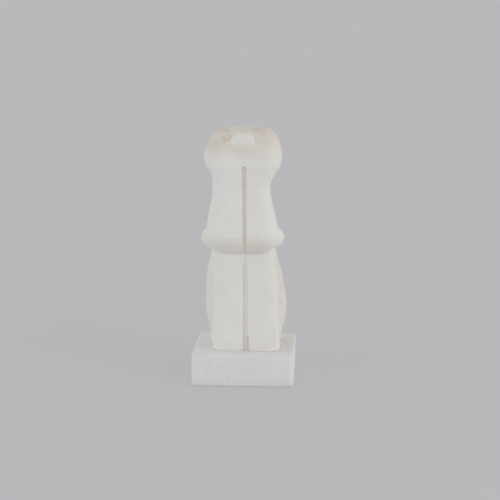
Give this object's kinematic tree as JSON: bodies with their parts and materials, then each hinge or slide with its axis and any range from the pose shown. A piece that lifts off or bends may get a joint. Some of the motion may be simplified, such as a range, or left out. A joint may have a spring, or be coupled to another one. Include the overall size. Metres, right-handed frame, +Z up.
{
  "type": "cycladic figurine",
  "caption": "Headless white marble figurine of Cycladic type with a cut spine slot, hip roll and leg cleft, on a rectangular plinth.",
  "frame": {"origin": "centre of the plinth's underside", "axes": "+Z up through the figure; -Y towards the carved back with the spine slot; +X to the right when looking at that back"},
  "size_m": [0.0934, 0.077, 0.2332],
  "materials": {
    "figure_marble": "honed",
    "plinth_marble": "rough"
  },
  "bodies": {
    "root": {"figure": "figure_marble", "plinth": "plinth_marble"}
  },
  "joints": []
}
